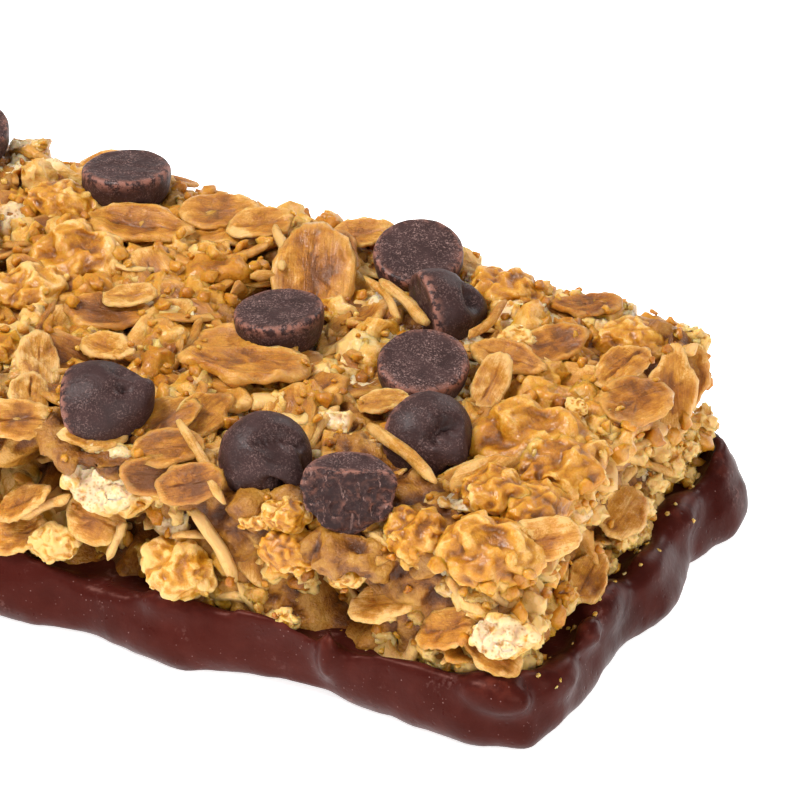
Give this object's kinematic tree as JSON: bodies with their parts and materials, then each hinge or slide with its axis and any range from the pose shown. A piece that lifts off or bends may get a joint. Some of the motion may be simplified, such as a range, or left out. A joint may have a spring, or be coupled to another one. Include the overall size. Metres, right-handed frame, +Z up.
{
  "type": "granola bar",
  "caption": "Granola bar: a pressed block of rolled oats and puffed crisps on a dipped dark chocolate base, with chocolate chips pressed into its top.",
  "frame": {"origin": "middle of the bar's footprint, on the flat underside of the chocolate", "axes": "+X along the bar's length, -Y towards the long cut face that the picture shows, +Z up through the chips"},
  "size_m": [0.0926, 0.0368, 0.0185],
  "materials": {
    "toasted_oats": "matte toasted oats with a thin syrup glaze",
    "dark_chocolate": "satin dark chocolate",
    "chip_chocolate": "matte dark chocolate with a dusty bloom"
  },
  "bodies": {
    "root": {"granola_block": "toasted_oats", "chocolate_base": "dark_chocolate", "chip_01": "chip_chocolate", "chip_02": "chip_chocolate", "chip_03": "chip_chocolate", "chip_04": "chip_chocolate", "chip_05": "chip_chocolate", "chip_06": "chip_chocolate", "chip_07": "chip_chocolate", "chip_08": "chip_chocolate", "chip_09": "chip_chocolate", "chip_10": "chip_chocolate", "chip_11": "chip_chocolate", "chip_12": "chip_chocolate", "chip_13": "chip_chocolate", "chip_14": "chip_chocolate", "chip_15": "chip_chocolate", "chip_16": "chip_chocolate", "chip_17": "chip_chocolate", "chip_18": "chip_chocolate", "chip_19": "chip_chocolate"}
  },
  "joints": []
}
